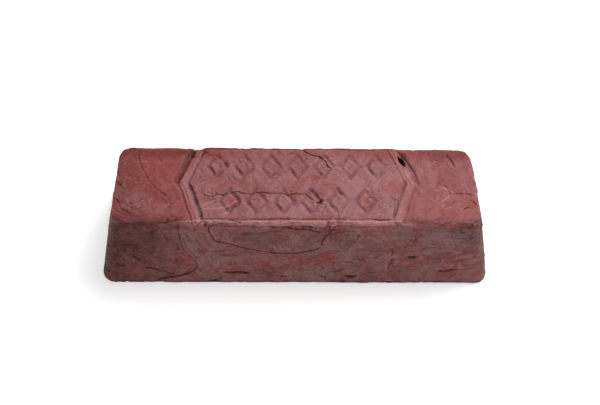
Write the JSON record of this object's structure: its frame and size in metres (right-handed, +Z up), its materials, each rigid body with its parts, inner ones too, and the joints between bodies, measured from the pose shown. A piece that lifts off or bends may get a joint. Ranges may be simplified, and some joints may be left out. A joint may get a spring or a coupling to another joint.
{
  "type": "polishing compound bar",
  "caption": "Ingot-shaped bar of wax-bonded polishing compound with leaning sides, a flat base and a bordered lozenge relief on top; rubbed onto a wheel or strop to charge it.",
  "frame": {"origin": "middle of the flat base, on the surface that the bar lies on", "axes": "+X along the bar, +Y across it, +Z up from the base towards the face with the relief"},
  "size_m": [0.152, 0.051, 0.032],
  "materials": {
    "compound": "matt, waxy, iron-oxide red mass with paler powdery smears and darker cracks"
  },
  "bodies": {
    "root": {"compound_bar": "compound"}
  },
  "joints": []
}
